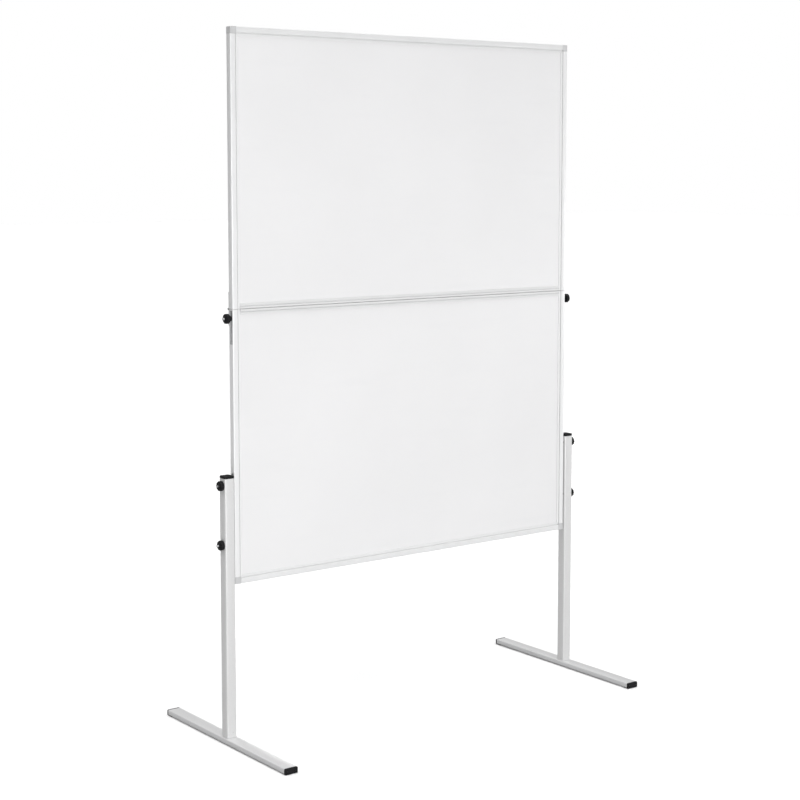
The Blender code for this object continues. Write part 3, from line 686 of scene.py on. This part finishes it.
def screw_mesh():
    """Low domed head along Y with a cross recess."""
    shape = bmesh.new()
    rings = []
    for step in range(7):
        angle = math.pi / 2 * step / 6 * SCREW_DOME
        radius, level = SCREW_RADIUS * math.cos(angle), SCREW_HEIGHT * math.sin(angle)
        turns = [2 * math.pi * i / SCREW_SIDES for i in range(SCREW_SIDES)]
        rings.append([(radius * math.cos(turn), level, radius * math.sin(turn))
                      for turn in turns])
    loft(shape, rings)
    head = bpy.data.objects.new("screw_head", finish_mesh(shape, "screw_head"))
    bpy.context.scene.collection.objects.link(head)
    cutters = []
    for long_x, long_z in ((CROSS_LONG, CROSS_WIDE), (CROSS_WIDE, CROSS_LONG)):
        shape = bmesh.new()
        block(shape, (-long_x, SCREW_HEIGHT * 0.35, -long_z),
              (long_x, SCREW_HEIGHT * 1.5, long_z), 0.00008, 1)
        cutter = bpy.data.objects.new("cross", finish_mesh(shape, "cross"))
        bpy.context.scene.collection.objects.link(cutter)
        recess = head.modifiers.new("recess", "BOOLEAN")
        recess.object = cutter
        cutters.append(cutter)
    graph = bpy.context.evaluated_depsgraph_get()
    mesh = bpy.data.meshes.new_from_object(head.evaluated_get(graph))
    for scrap in [head, *cutters]:
        bpy.data.objects.remove(scrap, do_unlink=True)
    mesh.materials.clear()
    return mesh


def hinge_screws():
    """Two screws through each hinge leaf into the frame behind it."""
    mesh = screw_mesh()
    for side_name in SIDES:
        for half in HALVES:
            leaf = f"{side_name}_hinge_{half}_leaf"
            low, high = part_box(leaf)
            stile_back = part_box(f"{half}_{side_name}_stile")[1].y
            seam_z, away = (low.z, 1) if half == "upper" else (high.z, -1)
            for number, step in enumerate(SCREW_STEPS, 1):
                place = ((low.x + high.x) / 2, stile_back + LEAF_STACK, seam_z + away * step)
                add_piece(f"{side_name}_hinge_{half}_screw_{number}", mesh, f"{half}_board",
                          ZINC, place)


def build_pieces():
    knob = knob_mesh()
    for side_name, side in SIDES.items():
        stand = f"{side_name}_stand"
        for level in LEVELS:
            name = f"{side_name}_{level}"
            add_knob(f"{name}_clamp_knob", side, f"{name}_clamp_knob_body", knob)
            add_clamp_bolt(f"{name}_clamp_bolt", side, stand)
            add_ring(f"{name}_spacer", side, stand)
        lock_knob = f"{side_name}_lock_knob"
        low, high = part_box(lock_knob)
        add_knob(lock_knob, side, f"{lock_knob}_body", knob)
        add_lock_bar(f"{side_name}_lock_bar", side, f"{side_name}_lock", (low.z + high.z) / 2)
        add_ring(f"{side_name}_lock_collar", side, f"{side_name}_lock")
        add_upright_cap(f"{side_name}_upright_cap", stand)
        tube = f"{side_name}_foot_tube"
        add_foot_cap(f"{side_name}_front_foot_cap", tube, stand, -1)
        add_foot_cap(f"{side_name}_rear_foot_cap", tube, stand, 1)
    hinge_screws()


# ---------------------------------------------------------------- stage
def floor():
    mesh = bpy.data.meshes.new("floor")
    square = [(-1, -1), (1, -1), (1, 1), (-1, 1)]
    mesh.from_pydata([(x * FLOOR_REACH, y * FLOOR_REACH, 0) for x, y in square], [],
                     [(0, 1, 2, 3)])
    obj = bpy.data.objects.new("floor", mesh)
    obj.location.z = -FLOOR_DROP
    bpy.context.scene.collection.objects.link(obj)
    finish = Finish("floor_paint", Metallic=0.0, Roughness=0.9, Specular_IOR_Level=0.1)
    paint = finish.mix(finish.noise(0.6, 3.0), (0.975, 0.975, 0.975), (0.99, 0.99, 0.99))
    seen = finish.node("ShaderNodeLightPath").outputs["Is Camera Ray"]
    finish.colour(finish.mix(seen, FLOOR_BOUNCE, paint))
    mesh.materials.append(finish.material)


def sky():
    """Overhead dome light; the backdrop behind everything is plain white."""
    world = bpy.data.worlds.new("studio")
    bpy.context.scene.world = world
    world.use_nodes = True
    tree = world.node_tree
    background = tree.nodes["Background"]
    background.inputs["Color"].default_value = (1.0, 1.0, 1.0, 1.0)
    place = tree.nodes.new("ShaderNodeTexCoord")
    split = tree.nodes.new("ShaderNodeSeparateXYZ")
    tree.links.new(place.outputs["Generated"], split.inputs["Vector"])
    upward = split.outputs["Z"]
    for operation, number in (("MAXIMUM", 0.0), ("POWER", DOME_RISE),
                              ("MULTIPLY", DOME_TOP), ("ADD", DOME_LOW)):
        step = tree.nodes.new("ShaderNodeMath")
        step.operation = operation
        tree.links.new(upward, step.inputs[0])
        step.inputs[1].default_value = number
        upward = step.outputs["Value"]
    seen = tree.nodes.new("ShaderNodeLightPath")
    pick = tree.nodes.new("ShaderNodeMix")
    tree.links.new(seen.outputs["Is Camera Ray"], pick.inputs["Factor"])
    tree.links.new(upward, pick.inputs["A"])
    pick.inputs["B"].default_value = 1.0
    tree.links.new(pick.outputs["Result"], background.inputs["Strength"])


def softbox(name, place, target, size, power):
    light = bpy.data.lights.new(name, "AREA")
    light.shape = "DISK"
    light.size = size
    light.energy = power
    obj = bpy.data.objects.new(name, light)
    bpy.context.scene.collection.objects.link(obj)
    obj.location = place
    obj.rotation_euler = (Vector(target) - Vector(place)).to_track_quat("-Z", "Y").to_euler()


def camera():
    data = bpy.data.cameras.new("camera")
    data.sensor_width = 36.0
    data.lens = CAMERA_LENS
    data.shift_y = CAMERA_SHIFT
    obj = bpy.data.objects.new("camera", data)
    bpy.context.scene.collection.objects.link(obj)
    obj.location = CAMERA_PLACE
    obj.rotation_euler = (math.radians(90 - CAMERA_DOWN), 0, -math.radians(CAMERA_HEADING))
    bpy.context.scene.camera = obj


def main():
    carried_over_nodes()
    build_pieces()
    floor()
    sky()
    middle = (CAD_BOX[0] + CAD_BOX[1]) / 2
    for name, place, size, power in SOFTBOXES:
        softbox(name, place, middle, size, power)
    bpy.context.scene.view_settings.view_transform = "Standard"
    camera()


main()
